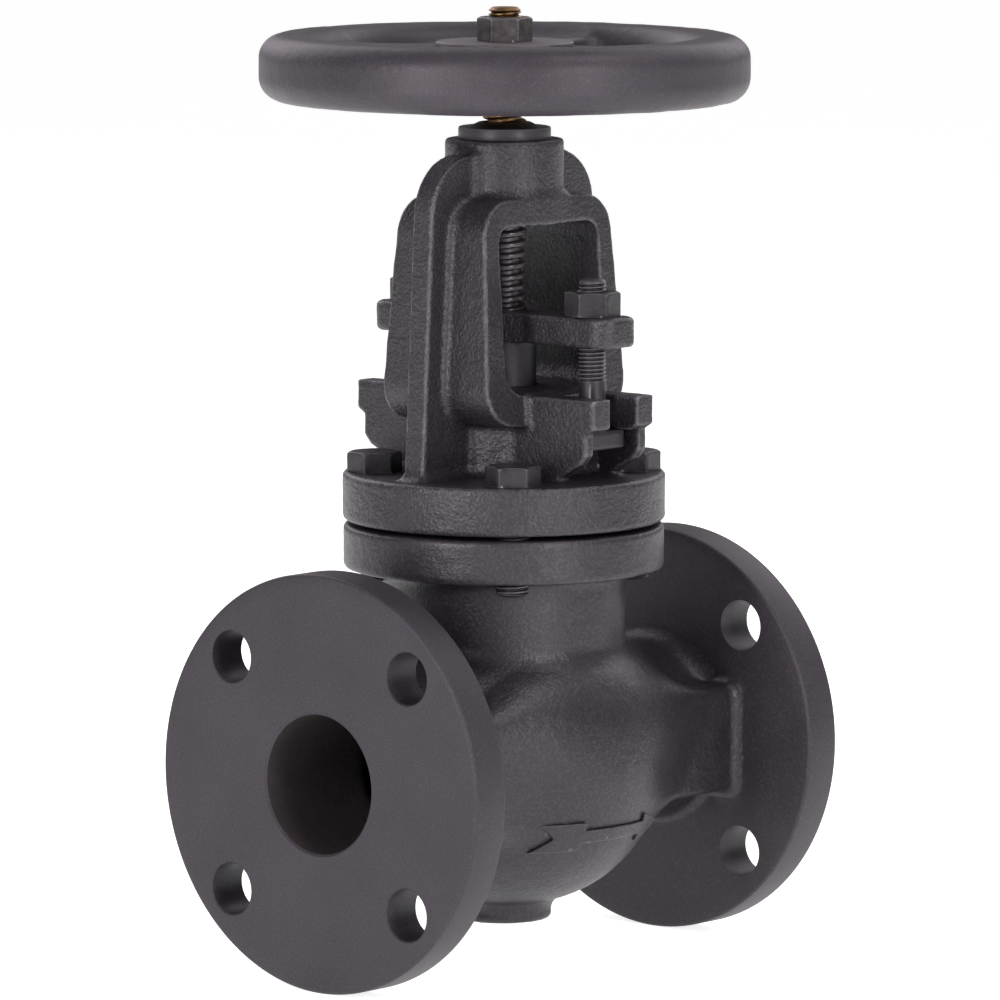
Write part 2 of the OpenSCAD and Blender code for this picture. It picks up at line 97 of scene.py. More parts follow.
def cut(a, b, r):
    """Field a less field b, with the edge rounded to radius r."""
    return both(a, -b, r)


def plate(r, z, radius, low, high, edge):
    """Round plate of a radius between two heights, its edges rounded."""
    return both(r - radius, np.abs(z - (low + high) / 2) - (high - low) / 2, edge)


def outline_distance(points, u, v):
    """Signed distance of (u, v) from a closed outline, negative inside it."""
    shape = np.broadcast(u, v).shape
    nearest = np.full(shape, 1e9, dtype=np.float32)
    inside = np.zeros(shape, dtype=bool)
    for (u0, v0), (u1, v1) in zip(points, points[1:] + points[:1]):
        du, dv = u1 - u0, v1 - v0
        along = np.clip(((u - u0) * du + (v - v0) * dv) / max(du * du + dv * dv, 1e-9), 0, 1)
        nearest = np.minimum(nearest, (u - u0 - along * du) ** 2 + (v - v0 - along * dv) ** 2)
        if dv:
            inside ^= ((v0 > v) != (v1 > v)) & (u < u0 + (v - v0) * du / dv)
    return np.where(inside, -1, 1).astype(np.float32) * np.sqrt(nearest)


def arc(u, v, r, start, end, steps=12):
    """Points of an arc, its angles in degrees."""
    turns = [math.radians(start + (end - start) * i / steps) for i in range(steps + 1)]
    return [(u + r * math.cos(a), v + r * math.sin(a)) for a in turns]


# ---------------------------------------------------------------- meshes

def new_object(name, points, faces):
    """Object in the row frame from points in millimetres about the stem axis."""
    mesh = bpy.data.meshes.new(name)
    co = np.array(points, dtype=np.float64) * MM
    co[:, 0] += STEM_X * MM
    if isinstance(faces, np.ndarray):
        mesh.vertices.add(len(co))
        mesh.vertices.foreach_set("co", co.astype(np.float32).ravel())
        mesh.loops.add(faces.size)
        mesh.loops.foreach_set("vertex_index", faces.ravel().astype(np.int32))
        mesh.polygons.add(len(faces))
        mesh.polygons.foreach_set("loop_start", np.arange(0, faces.size, faces.shape[1], dtype=np.int32))
        mesh.update(calc_edges=True)
    else:
        mesh.from_pydata(co.tolist(), [], faces)
    item = bpy.data.objects.new(name, mesh)
    bpy.context.scene.collection.objects.link(item)
    return item


def turned(name, rings, sides=96, hollow=False):
    """Solid turned about the stem axis. Each ring is (height, radius), and the radius is a number or one
    per side. A hollow solid's last ring joins its first, and any other is capped."""
    angle = np.arange(sides) * 2 * math.pi / sides
    points = []
    for height, radius in rings:
        radius = np.broadcast_to(radius, sides)
        points += zip(radius * np.cos(angle), radius * np.sin(angle), np.full(sides, height))
    faces = []
    count = len(rings)
    for i in range(count if hollow else count - 1):
        a, b = i * sides, (i + 1) % count * sides
        faces += [(a + k, a + (k + 1) % sides, b + (k + 1) % sides, b + k) for k in range(sides)]
    if not hollow:
        faces += [tuple(range(sides))[::-1], tuple(range((count - 1) * sides, count * sides))]
    return new_object(name, points, faces)


def place(item, matrix):
    """Bakes a placement in millimetres about the stem axis into the mesh."""
    home = Matrix.Translation((STEM_X * MM, 0, 0))
    scaled = matrix.copy()
    scaled.translation = matrix.translation * MM
    item.data.transform(home @ scaled @ home.inverted())
    return item


def merged(items):
    """One object from several that don't touch."""
    first = items[0]
    with bpy.context.temp_override(active_object=first, selected_editable_objects=items):
        bpy.ops.object.join()
    return first


def boolean(target, tools, operation):
    """Applies a boolean with each tool and removes the tools."""
    for tool in tools:
        change = target.modifiers.new("change", "BOOLEAN")
        change.operation, change.solver, change.object = operation, "MANIFOLD", tool
        bpy.context.view_layer.update()
        result = target.evaluated_get(bpy.context.evaluated_depsgraph_get())
        mesh = bpy.data.meshes.new_from_object(result)
        target.modifiers.clear()
        old, target.data = target.data, mesh
        bpy.data.meshes.remove(old)
        bpy.data.objects.remove(tool)


def lattice_noise(points, size, seed):
    """Smooth noise from -1 to 1, its lumps about size across."""
    table = np.random.default_rng(seed).uniform(-1, 1, (32, 32, 32))
    at = points / size
    whole = np.floor(at).astype(int)
    part = at - whole
    part = part * part * (3 - 2 * part)
    total = np.zeros(len(points))
    for dx in (0, 1):
        for dy in (0, 1):
            for dz in (0, 1):
                weight = abs(1 - dx - part[:, 0]) * abs(1 - dy - part[:, 1]) * abs(1 - dz - part[:, 2])
                i, j, k = ((whole + (dx, dy, dz)) % 32).T
                total += weight * table[i, j, k]
    return total


def roughen(item, layers, keep=None):
    """Moves the surface in and out as a sand casting does. Layers are (lump size, height) in millimetres,
    and keep gives how much of it each point takes, from 0 to 1."""
    mesh = item.data
    count = len(mesh.vertices)
    co = np.empty(count * 3, dtype=np.float32)
    normal = np.empty(count * 3, dtype=np.float32)
    mesh.vertices.foreach_get("co", co)
    mesh.vertex_normals.foreach_get("vector", normal)
    co, normal = co.reshape(-1, 3), normal.reshape(-1, 3)
    at = co / MM
    amount = sum(height * lattice_noise(at, size, SEED + i) for i, (size, height) in enumerate(layers))
    if keep is not None:
        amount = amount * keep(at - (STEM_X, 0, 0))
    co += normal * (amount * MM)[:, None]
    mesh.vertices.foreach_set("co", co.ravel())
    mesh.update()


def smooth(item, angle=35):
    """Smooth shading, with edges sharper than the angle left crisp."""
    mesh = item.data
    mesh.polygons.foreach_set("use_smooth", np.ones(len(mesh.polygons), dtype=bool))
    mesh.set_sharp_from_angle(angle=math.radians(angle))


def face_places(item):
    """Middle and normal of every face, in millimetres about the stem axis."""
    mesh = item.data
    middle = np.empty(len(mesh.polygons) * 3, dtype=np.float32)
    normal = np.empty(len(mesh.polygons) * 3, dtype=np.float32)
    mesh.polygons.foreach_get("center", middle)
    mesh.polygons.foreach_get("normal", normal)
    return middle.reshape(-1, 3) / MM - (STEM_X, 0, 0), normal.reshape(-1, 3)


def finish_piece(item, body, nodes, materials, choose=None, angle=35):
    """Gives a piece its materials, its shading, its body and the CAD nodes that it stands for.
    choose gives the index of each face's material, from the faces' places and normals."""
    smooth(item, angle)
    item.data.materials.clear()
    for material in materials:
        item.data.materials.append(material)
    index = np.zeros(len(item.data.polygons), dtype=np.int32)
    if choose is not None:
        index[:] = choose(*face_places(item))
    item.data.polygons.foreach_set("material_index", index)
    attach(item, body)
    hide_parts(*nodes)


# ---------------------------------------------------------------- materials

def linear(value):
    """Linear light of a display tone from 0 to 255."""
    tone = value / 255
    return tone / 12.92 if tone <= 0.04045 else ((tone + 0.055) / 1.055) ** 2.4


def tone(red, green, blue):
    """Colour from display tones."""
    return linear(red), linear(green), linear(blue), 1.0


class Finish:
    """A procedural material built up from nodes."""

    def __init__(self, name, metallic=0.0, specular=0.5, coat=0.0, coat_roughness=0.2):
        self.material = bpy.data.materials.new(name)
        self.material.use_nodes = True
        self.tree = self.material.node_tree
        self.tree.nodes.clear()
        self.shader = self.node("ShaderNodeBsdfPrincipled")
        output = self.node("ShaderNodeOutputMaterial")
        self.link(self.shader.outputs[0], output.inputs[0])
        self.shader.inputs["Metallic"].default_value = metallic
        self.shader.inputs["Specular IOR Level"].default_value = specular
        self.shader.inputs["Coat Weight"].default_value = coat
        self.shader.inputs["Coat Roughness"].default_value = coat_roughness
        self.place = self.node("ShaderNodeTexCoord").outputs["Object"]
        self.bump_normal = None

    def node(self, kind):
        return self.tree.nodes.new(kind)

    def link(self, output, socket):
        self.tree.links.new(output, socket)

    def noise(self, lump, detail=4.0, roughness=0.55, stretch=None):
        """Noise with lumps about this many millimetres across."""
        noise = self.node("ShaderNodeTexNoise")
        noise.inputs["Scale"].default_value = 1 / (lump * MM)
        noise.inputs["Detail"].default_value = detail
        noise.inputs["Roughness"].default_value = roughness
        source = self.place
        if stretch:
            mapping = self.node("ShaderNodeMapping")
            mapping.inputs["Scale"].default_value = stretch
            self.link(self.place, mapping.inputs["Vector"])
            source = mapping.outputs["Vector"]
        self.link(source, noise.inputs["Vector"])
        return noise.outputs["Fac"]

    def ramp(self, source, stops):
        """Colour ramp over a value. Stops are (position, colour or grey value)."""
        ramp = self.node("ShaderNodeValToRGB")
        elements = ramp.color_ramp.elements
        while len(elements) < len(stops):
            elements.new(0.5)
        for element, (position, colour) in zip(elements, stops):
            element.position = position
            element.color = colour if isinstance(colour, tuple) else (colour, colour, colour, 1)
        self.link(source, ramp.inputs["Fac"])
        return ramp.outputs["Color"]

    def mix(self, factor, first, second):
        """Mixes two colour outputs, or an output and a colour."""
        mix = self.node("ShaderNodeMix")
        mix.data_type = "RGBA"
        self.link(factor, mix.inputs["Factor"])
        for value, socket in ((first, mix.inputs[6]), (second, mix.inputs[7])):
            if isinstance(value, tuple):
                socket.default_value = value
            else:
                self.link(value, socket)
        return mix.outputs[2]

    def worn_edges(self, low, high):
        """Rises from 0 to 1 on outward edges."""
        return self.ramp(self.node("ShaderNodeNewGeometry").outputs["Pointiness"], [(low, 0.0), (high, 1.0)])

    def bump(self, height, depth, strength=1.0):
        """Adds a bump of this depth in millimetres."""
        bump = self.node("ShaderNodeBump")
        bump.inputs["Strength"].default_value = strength
        bump.inputs["Distance"].default_value = depth * MM
        self.link(height, bump.inputs["Height"])
        if self.bump_normal is not None:
            self.link(self.bump_normal, bump.inputs["Normal"])
        self.bump_normal = bump.outputs["Normal"]
        self.link(self.bump_normal, self.shader.inputs["Normal"])

    def colour(self, source):
        self.link(source, self.shader.inputs["Base Color"])

    def roughness(self, source, low, high):
        self.link(self.ramp(source, [(0.3, low), (0.7, high)]), self.shader.inputs["Roughness"])


def cast_paint(name, grain_depth, rubbed):
    """Charcoal paint over a sand casting: grainy, uneven in gloss, with painted glints as light specks on the
    grain crests, lighter where edges are rubbed.
    """
    finish = Finish(name, specular=0.5)
    patches = finish.noise(24, 5)
    grain = finish.noise(1.15, 2, 0.5)
    pits = finish.noise(3.2, 3, 0.6)
    base = finish.ramp(patches, [(0.35, tone(26, 23, 26)), (0.65, tone(34, 31, 35))])
    # painted glints: light specks where the bump grain is highest
    base_with_painted_glints = finish.mix(finish.ramp(grain, [(0.45, 0.0), (0.66, 0.4)]), base, tone(62, 58, 65))
    finish.colour(finish.mix(finish.worn_edges(0.52, 0.6), base_with_painted_glints, tone(*rubbed)))
    finish.roughness(grain, 0.46, 0.38)
    finish.bump(pits, 0.2, 0.6)
    finish.bump(grain, grain_depth, 1.0)
    return finish.material


def machined_paint():
    """The same paint over faced and turned iron: nearly smooth, with fine dust and faint patches."""
    finish = Finish("machined_paint", specular=0.42)
    patches = finish.noise(30, 5)
    grain = finish.noise(0.7, 4, 0.65)
    base = finish.ramp(patches, [(0.35, tone(36, 33, 37)), (0.65, tone(44, 40, 45))])
    finish.colour(finish.mix(finish.ramp(grain, [(0.5, 0.0), (0.72, 0.4)]), base, tone(84, 81, 87)))
    finish.roughness(patches, 0.46, 0.54)
    finish.bump(grain, 0.1, 0.8)
    return finish.material


def bore_iron():
    """Bare and painted iron inside the bores: matt, dark, with rusty patches."""
    finish = Finish("bore_iron", specular=0.35)
    patches = finish.noise(9, 6, 0.6)
    grain = finish.noise(1.6, 5, 0.7)
    finish.colour(finish.ramp(patches, [
        (0.3, tone(44, 40, 41)), (0.6, tone(52, 47, 47)), (0.78, tone(66, 56, 52))]))
    finish.roughness(grain, 0.6, 0.8)
    finish.bump(grain, 0.35, 0.7)
    return finish.material


def wheel_enamel():
    """Thick charcoal enamel on the handwheel, with a slight orange peel."""
    finish = Finish("wheel_enamel", specular=0.36, coat=0.1, coat_roughness=0.35)
    patches = finish.noise(35, 4)
    peel = finish.noise(2.6, 3, 0.5)
    grain = finish.noise(0.8, 3, 0.6)
    base = finish.ramp(patches, [(0.35, tone(42, 38, 43)), (0.65, tone(49, 45, 50))])
    finish.colour(finish.mix(finish.ramp(grain, [(0.52, 0.0), (0.72, 0.35)]), base, tone(80, 77, 83)))
    finish.roughness(patches, 0.46, 0.55)
    finish.bump(peel, 0.3, 0.7)
    finish.bump(grain, 0.12, 0.8)
    return finish.material


def bolt_paint():
    """Painted fasteners: dark, chipped to lighter metal at corners."""
    finish = Finish("bolt_paint", metallic=0.1, specular=0.4)
    patches = finish.noise(5, 5, 0.6)
    grain = finish.noise(0.9, 4, 0.6)
    base = finish.ramp(patches, [(0.35, tone(32, 30, 32)), (0.7, tone(46, 44, 47))])
    finish.colour(finish.mix(finish.worn_edges(0.52, 0.62), base, tone(128, 125, 130)))
    finish.roughness(patches, 0.34, 0.46)
    finish.bump(grain, 0.1, 0.6)
    return finish.material


def bare_steel():
    """Dull galvanised or rubbed steel of the handwheel nut."""
    finish = Finish("bare_steel", metallic=0.65, specular=0.5)
    patches = finish.noise(6, 6, 0.65)
    grain = finish.noise(0.7, 5, 0.7)
    base = finish.ramp(patches, [
        (0.32, tone(66, 63, 63)), (0.55, tone(92, 89, 88)), (0.75, tone(122, 120, 118))])
    finish.colour(finish.mix(finish.worn_edges(0.53, 0.64), base, tone(196, 194, 190)))
    finish.roughness(grain, 0.36, 0.6)
    finish.bump(grain, 0.1, 0.7)
    return finish.material


def plate_steel():
    """Thin grey plate under the handwheel nut: scratched, matt and a little stained."""
    finish = Finish("plate_steel", metallic=0.35, specular=0.45)
    patches = finish.noise(8, 6, 0.65)
    scratches = finish.noise(1.0, 4, 0.6, stretch=(8, 1, 1))
    base = finish.ramp(patches, [
        (0.3, tone(80, 77, 79)), (0.6, tone(98, 95, 97)), (0.8, tone(112, 109, 110))])
    finish.colour(finish.mix(finish.ramp(scratches, [(0.55, 0.0), (0.75, 0.6)]), base, tone(132, 128, 128)))
    finish.roughness(patches, 0.46, 0.62)
    finish.bump(scratches, 0.05, 0.6)
    return finish.material


def brass(name, dark, light, painted_hollow_shade):
    """Yellow metal, its hollows darkened with painted shade so that the crests stand out bright."""
    finish = Finish(name, metallic=1.0, specular=0.5)
    patches = finish.noise(4, 5, 0.6)
    grain = finish.noise(0.8, 4, 0.6)
    base = finish.ramp(patches, [(0.3, dark), (0.7, light)])
    # painted shade: concave places, found from pointiness, take the dark shade colour
    pointiness = finish.node("ShaderNodeNewGeometry").outputs["Pointiness"]
    hollow = finish.ramp(pointiness, [(0.44, 1.0), (0.51, 0.0)])
    finish.colour(finish.mix(hollow, base, painted_hollow_shade))
    finish.roughness(grain, 0.34, 0.56)
    finish.bump(grain, 0.08, 0.6)
    return finish.material


def stem_steel():
    """Stem below the handwheel: dark greased metal."""
    finish = Finish("stem_steel", metallic=0.6, specular=0.5)
    patches = finish.noise(6, 5, 0.6)
    grain = finish.noise(0.8, 4, 0.6)
    base = finish.ramp(patches, [(0.35, tone(58, 55, 58)), (0.7, tone(76, 73, 75))])
    finish.colour(finish.mix(finish.worn_edges(0.51, 0.6), base, tone(126, 122, 122)))
    finish.roughness(patches, 0.28, 0.42)
    finish.bump(grain, 0.06, 0.5)
    return finish.material


def soft_sheet(name, dark, light, lump, depth):
    """Matt fibre: gasket sheet or braided packing."""
    finish = Finish(name, specular=0.25)
    fibre = finish.noise(lump, 6, 0.75)
    finish.colour(finish.ramp(fibre, [(0.35, dark), (0.65, light)]))
    finish.roughness(fibre, 0.75, 0.95)
    finish.bump(fibre, depth, 0.8)
    return finish.material


def studio_floor():
    """White table lit softly from below, very slightly uneven."""
    finish = Finish("studio_floor", specular=0.2)
    patches = finish.noise(120, 3)
    finish.colour(finish.ramp(patches, [(0.3, (0.82, 0.82, 0.82, 1)), (0.7, (0.84, 0.84, 0.84, 1))]))
    finish.shader.inputs["Emission Color"].default_value = (1.0, 1.0, 1.0, 1)
    finish.shader.inputs["Emission Strength"].default_value = 0.8
    finish.roughness(patches, 0.8, 0.9)
    return finish.material


CAST = cast_paint("cast_paint", 0.2, (80, 77, 83))
SANDY = cast_paint("sandy_cast_paint", 0.4, (112, 109, 116))
MACHINED = machined_paint()
BORE = bore_iron()
ENAMEL = wheel_enamel()
FASTENER = bolt_paint()
STEEL = bare_steel()
PLATE = plate_steel()
# the third tone of each brass is the painted shade laid in its hollows
STEM_BRASS = brass("stem_brass", tone(104, 82, 56), tone(150, 122, 84), tone(44, 36, 30))
STEM_DARK = stem_steel()
TRIM_BRASS = brass("trim_bronze", tone(128, 96, 58), tone(176, 138, 88), tone(70, 52, 36))
GASKET = soft_sheet("gasket_sheet", tone(40, 40, 41), tone(58, 58, 60), 1.2, 0.15)
PACKING = soft_sheet("braided_packing", tone(58, 58, 62), tone(92, 92, 96), 1.6, 0.3)


# ---------------------------------------------------------------- body

FLANGE_R = -BODY_LOW[2]               # radius of a pipe flange
HALF_LENGTH = (BODY_HIGH[0] - BODY_LOW[0]) / 2
FLANGE_T = 15.9
FLANGE_EDGE = 1.2
BOLT_CIRCLE_R = 60.325
FLANGE_HOLE_R = 9.525
PORT_R = 25.4
PORT_BEVEL, HOLE_BEVEL = 0.8, 0.5
BODY_TOP = BODY_HIGH[2]
BODY_FLANGE_T = 16.3
BODY_FLANGE_R = 59.0
GLOBE_ARC_R, GLOBE_SHIFT = 55.5, 5.0  # the globe's arc, and how far its centre is from the stem axis
WALL = 7.0
NECK_R = 44.8
DUCT_R = 33.0
SHOULDER_W, SHOULDER_H = 41.0, 20.0   # half sizes of the blocks beside the ducts
BOSS_R, BOSS_BOTTOM = 17.8, -61.1
DECK_LOW, DECK_HIGH, DECK_R = -3.0, 5.0, 38.0
WEB_X, WEB_Z, WEB_T = 56.0, 27.0, 6.5
NECK_BORE_R, NECK_BORE_Z = 36.5, 17.0
SEAT_R, SEAT_LIP_R = 31.0, 34.5
BOLT_RING, BOLT_R = 47.6, 6.0         # the bonnet bolts

# Cast fillets. The duct falls away from the neck, so its fillets are wider above mid height than below.
CAST_INSET = 0.3                      # the cast flanges stay this far inside the turned ones
CROWN_FLARE, BELLY_FLARE = 9.0, 3.0
SHOULDER_FLARE, SHOULDER_FILLET = 5.0, 3.0
GLOBE_FILLET, GLOBE_FILLET_CHANGE, GLOBE_FILLET_SPREAD = 17.0, 7.0, 10.0
NECK_FILLET, BODY_FLANGE_FILLET, BOSS_FILLET = 3.5, 4.0, 4.0

ARROW_Z, ARROW_TAIL, ARROW_TIP = -23.5, -34.0, 31.0
ARROW_H, ARROW_SHAFT_H, ARROW_HEAD, ARROW_NOTCH, ARROW_RAISE = 11.0, 5.0, 17.0, 6.0, 1.2


def globe_field(at, grow):
    """The globe, grown outwards: an arc turned about the stem axis."""
    return np.hypot(np.maximum(at.r - GLOBE_SHIFT, 0), at.z) - GLOBE_ARC_R - grow


def arrow_points():
    """Outline of the flow arrow in x and z."""
    half, shaft = ARROW_H / 2, ARROW_SHAFT_H / 2
    upper = [(ARROW_TAIL, half), (ARROW_TAIL + ARROW_HEAD, half), (ARROW_TAIL + ARROW_HEAD, shaft),
             (ARROW_TIP - ARROW_HEAD, shaft), (ARROW_TIP - ARROW_HEAD, half)]
    lower = [(x, -z) for x, z in reversed(upper)]
    outline = upper + [(ARROW_TIP, 0)] + lower + [(ARROW_TAIL + ARROW_NOTCH, 0)]
    return [(x, z + ARROW_Z) for x, z in outline]


def body_outside(step):
    """The casting's outer skin, with cast fillets, up to the backs of the pipe flanges."""
    margin = 3 * step
    at = Lattice((-HALF_LENGTH - margin, -FLANGE_R - margin, -FLANGE_R - margin),
                 (HALF_LENGTH + margin, FLANGE_R + margin, BODY_TOP + margin), step)
    round_pipe = np.hypot(at.y, at.z)
    mid_flange = HALF_LENGTH - FLANGE_T / 2
    x_end = np.abs(at.x)
    flange = both(round_pipe - FLANGE_R + CAST_INSET,
                  np.abs(x_end - mid_flange) - FLANGE_T / 2 + CAST_INSET, 2)
    shoulder = both(both(np.abs(at.y) - SHOULDER_W, np.abs(at.z) - SHOULDER_H, 4), x_end - mid_flange, 1)
    flare = np.where(at.z > 0, CROWN_FLARE, BELLY_FLARE)    # the change is hidden inside the shoulder blocks
    duct = np.maximum(round_pipe - DUCT_R, x_end - mid_flange)
    pipe = np.minimum(join(duct, flange, flare),
                      join(join(duct, shoulder, SHOULDER_FILLET), flange, SHOULDER_FLARE))
    globe_fillet = GLOBE_FILLET + GLOBE_FILLET_CHANGE * np.tanh(at.z / GLOBE_FILLET_SPREAD)
    field = join(globe_field(at, 0), pipe, globe_fillet)
    field = join(field, plate(at.r, at.z, NECK_R, 0, BODY_TOP - 2, 1), NECK_FILLET)
    body_flange = plate(at.r, at.z, BODY_FLANGE_R, BODY_TOP - BODY_FLANGE_T, BODY_TOP, 1.8)
    field = join(field, body_flange, BODY_FLANGE_FILLET)
    boss = plate(at.r, at.z, BOSS_R, BOSS_BOTTOM, 0, 1.5)
    field = join(field, boss, BOSS_FILLET)
    return at.mesh("valve_body", field)


def arrow_relief(step):
    """The flow arrow on both sides, a shell over the globe with crisp edges."""
    at = Lattice((ARROW_TAIL - 3, -GLOBE_ARC_R - 9, ARROW_Z - ARROW_H),
                 (ARROW_TIP + 3, GLOBE_ARC_R + 9, ARROW_Z + ARROW_H), step)
    shell = both(globe_field(at, ARROW_RAISE), outline_distance(arrow_points(), at.x, at.z), 0.3)
    return at.mesh("arrow", np.maximum(shell, -globe_field(at, -2)))


def body_inside(step):
    """The passages and the neck bore, as one solid to be cut away."""
    reach = HALF_LENGTH - 20
    at = Lattice((-reach, -SEAT_LIP_R * 2, -SEAT_LIP_R * 2), (reach, SEAT_LIP_R * 2, BODY_TOP + 12), step)
    inlet = [(-HALF_LENGTH - 9, -FLANGE_R), (-HALF_LENGTH - 9, FLANGE_R), (-WEB_X, FLANGE_R), (-WEB_X, WEB_Z),
             (-DECK_R, DECK_LOW), (DECK_R - WEB_T, DECK_LOW), (WEB_X - WEB_T, -WEB_Z - WEB_T / 2),
             (WEB_X - WEB_T, -FLANGE_R)]
    outlet = [(-x, DECK_LOW + DECK_HIGH - z) for x, z in inlet]
    hollow = globe_field(at, -WALL)
    pipe = np.hypot(at.y, at.z) - PORT_R
    field = np.full(1, 9.0, dtype=np.float32)
    for outline, side in ((inlet, -1), (outlet, 1)):
        port = both(pipe, -side * at.x + DECK_R - 9, 1)
        space = both(join(hollow, port, 4), outline_distance(outline, at.x, at.z), 2)
        field = np.minimum(field, space)
    bores = ((NECK_BORE_R, NECK_BORE_Z, BODY_TOP + 10), (SEAT_R, DECK_LOW - 1, DECK_HIGH + 1),
             (SEAT_LIP_R, DECK_HIGH, NECK_BORE_Z))
    for radius, low, high in bores:
        bore = np.maximum(at.r - radius, np.abs(at.z - (low + high) / 2) - (high - low) / 2)
        field = np.minimum(field, bore)
    closed = np.maximum(field, np.abs(at.x) - reach + 2 * step)
    return at.mesh("inside", closed)


def rounded_disc(radius, thickness, edge, steps=5):
    """Rings of a solid disc from z = 0 up, with rounded outer edges."""
    rings = [(0, radius * part) for part in (0.36, 0.5, 0.65, 0.8, 0.92)]
    rings += [(edge - edge * math.cos(a), radius - edge + edge * math.sin(a))
              for a in np.linspace(0, math.pi / 2, steps)]
    rings += [(thickness - z, r) for z, r in reversed(rings)]
    return rings


def along_x(x, side=1):
    """Placement that turns +Z into +X or -X, at x."""
    return Matrix.Translation((x, 0, 0)) @ Matrix.Rotation(side * math.pi / 2, 4, "Y")


def from_pipe_face(name, rings, sides, side):
    """Round solid about the pipe axis. Its heights are depths from the face of a pipe flange, inwards."""
    return place(turned(name, rings, sides), along_x(side * HALF_LENGTH, -side))


def drill(name, radius, low, high, x, y, sides=48):
    """Upright round tool at (x, y)."""
    return place(turned(name, [(low, radius), (high, radius)], sides), Matrix.Translation((x, y, 0)))


def body_material(middle, normal):
    """Index of cast, machined or bore finish for each face of the body."""
    x, y, z = middle.T
    pipe_r, stem_r = np.hypot(y, z), np.hypot(x, y)
    index = np.zeros(len(middle), dtype=np.int32)
    hollow = np.hypot(np.maximum(stem_r - GLOBE_SHIFT, 0), z) < GLOBE_ARC_R - WALL / 2
    index[hollow | (pipe_r < PORT_R + 1.4) | ((stem_r < NECK_BORE_R + 0.6) & (z > 0))] = 2
    index[np.abs(x) > HALF_LENGTH - FLANGE_T - 0.01] = 1
    index[(np.abs(normal[:, 0]) < 0.5) & (pipe_r < PORT_R + 0.9)] = 2
    return index


def bolt_circle(radius):
    """The four places at 45 degrees to the axes on a bolt circle."""
    angles = [math.radians(45 + 90 * i) for i in range(4)]
    return [(radius * math.cos(a), radius * math.sin(a)) for a in angles]


def make_body():
    body = body_outside(0.95)
    roughen(body, ((14, 0.16), (4.0, 0.06), (2.0, 0.05)), keep=lambda p: np.where(
        np.abs(p[:, 0]) < HALF_LENGTH - FLANGE_T - 0.5, 1.0, 0.0))
    port_rings = [(-5, PORT_R + PORT_BEVEL), (0, PORT_R + PORT_BEVEL), (PORT_BEVEL, PORT_R),
                  (HALF_LENGTH - DECK_R - 18, PORT_R)]
    hole_rings = [(-5, FLANGE_HOLE_R + HOLE_BEVEL), (0, FLANGE_HOLE_R + HOLE_BEVEL),
                  (HOLE_BEVEL, FLANGE_HOLE_R), (FLANGE_T - HOLE_BEVEL, FLANGE_HOLE_R),
                  (FLANGE_T + 8, FLANGE_HOLE_R)]
    ends, ports, holes = [], [], []
    for side in (-1, 1):
        ends.append(from_pipe_face("end", rounded_disc(FLANGE_R, FLANGE_T, FLANGE_EDGE), 192, side))
        ports.append(from_pipe_face("port", port_rings, 128, side))
        for y, z in bolt_circle(BOLT_CIRCLE_R):
            hole = from_pipe_face("hole", hole_rings, 64, side)
            holes.append(place(hole, Matrix.Translation((0, y, z))))
    holes += [drill("hole", BOLT_R + 0.05, BODY_TOP - BODY_FLANGE_T - 3, BODY_TOP + 5, x, y)
              for x, y in bolt_circle(BOLT_RING)]
    boolean(body, [merged(ends), arrow_relief(0.45)], "UNION")
    boolean(body, [body_inside(1.6), merged(ports), merged(holes)], "DIFFERENCE")
    finish_piece(body, "housing", ["body"], [CAST, MACHINED, BORE], body_material)


# ---------------------------------------------------------------- bonnet and yoke

BONNET_Z, BONNET_TOP, BONNET_R = 87.5, 105.2, 59.3
SPIGOT_Z, SPIGOT_R = 82.5, 36.4
BOX_R, BOX_TOP = 24.0, 136.0
WINDOW_W, WINDOW_TOP = 27.5, 197.2
WINDOW_CORNER, WINDOW_LOW_CORNER = 6.5, 10.0
BAND_TOP_W, BAND_LOW_W, BAND_TOP, BAND_BOTTOM = 35.5, 38.5, 207.0, 124.0
BAND_CORNER, BAND_LOW_Z = 14.0, 139.0
BAND_Y_TOP, BAND_Y_LOW = 20.7, 26.6
RIB_T, RIB_FOOT, RIB_ARC_X, RIB_ARC_Z, RIB_ARC_R = 9.5, 50.2, 23.5, 201.0, 21.7
HUB_R, HUB_TOP = 21.7, 227.5
HUB_BORE_R = 13.0
BOWL_R, BOWL_Z = 30.0, 96.0           # hollow under the stuffing box
BACKSEAT_R, BACKSEAT_Z, BACKSEAT_TOP = 16.0, 106.0, 110.0
THROAT_R, THROAT_TOP = 12.0, 118.0
PACKING_R = 12.5
BONNET_HOLE_R = 6.75
YOKE_EDGE, YOKE_FILLET = 1.1, 3.0
LUG_W = 17.0
SLOT_W, SLOT_Y = 7.5, 36.5
POCKET_W, POCKET_Y, POCKET_TOP = 12.5, 35.0, 123.3
POCKET_MID = 114.0
LUG_OUTLINE = [(0, 100), (38, 100), (38, 105.2), (51.5, 112.5), (54.3, 116), (54.3, 123.5), (57.8, 125.5),
               (57.8, 136), (0, 136)]


def mirrored(half):
    """Closed outline from its right half, listed from the top down."""
    return half + [(-u, v) for u, v in reversed(half)]


